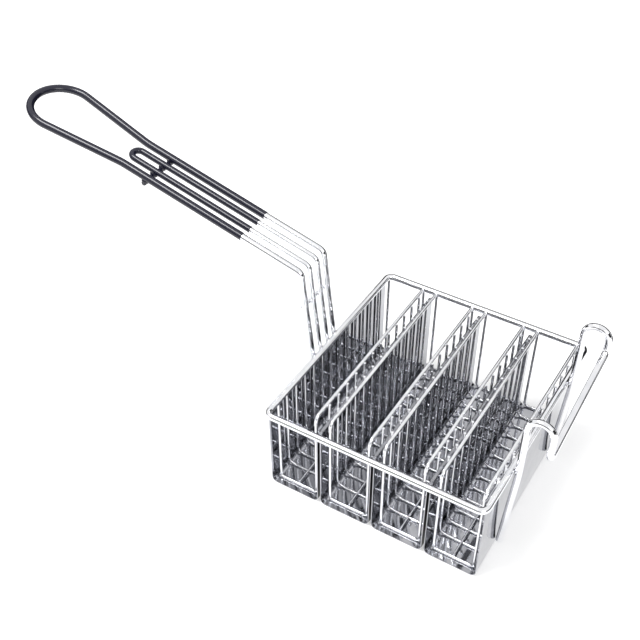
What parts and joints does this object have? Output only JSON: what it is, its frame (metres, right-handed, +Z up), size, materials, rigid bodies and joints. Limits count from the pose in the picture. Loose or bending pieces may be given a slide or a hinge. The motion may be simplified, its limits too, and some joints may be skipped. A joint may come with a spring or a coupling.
{
  "type": "deep fryer basket",
  "caption": "Chrome wire basket with long parallel slots lined with a folded bright sheet, a rod handle with a black coated grip, and a bent-rod hanger on the far side.",
  "frame": {"origin": "on the resting surface, under the middle of the rim, midway between its front and back and between its left and right rods", "axes": "+X from the handle to the hanger, +Y from the front to the back along the slots, +Z up"},
  "size_m": [0.5634, 0.232, 0.2772],
  "materials": {
    "chrome_wire": "polished",
    "trough_sheet": "mirror polished",
    "grip_plastic": "glossy"
  },
  "bodies": {
    "root": {"top_rim": "chrome_wire", "slot_liner": "trough_sheet", "slot_1_right_rail": "chrome_wire", "slot_1_front_frame": "chrome_wire", "slot_1_rear_frame": "chrome_wire", "slot_1_ribs": "chrome_wire", "slot_2_left_rail": "chrome_wire", "slot_2_right_rail": "chrome_wire", "slot_2_front_frame": "chrome_wire", "slot_2_rear_frame": "chrome_wire", "slot_2_ribs": "chrome_wire", "slot_3_left_rail": "chrome_wire", "slot_3_right_rail": "chrome_wire", "slot_3_front_frame": "chrome_wire", "slot_3_rear_frame": "chrome_wire", "slot_3_ribs": "chrome_wire", "slot_4_left_rail": "chrome_wire", "slot_4_right_rail": "chrome_wire", "slot_4_front_frame": "chrome_wire", "slot_4_rear_frame": "chrome_wire", "slot_4_ribs": "chrome_wire", "handle_outer_loop": "chrome_wire", "handle_inner_loop": "chrome_wire", "handle_leg_tie": "chrome_wire", "handle_grip_tie": "chrome_wire", "grip_coating": "grip_plastic", "hanger": "chrome_wire"}
  },
  "joints": []
}
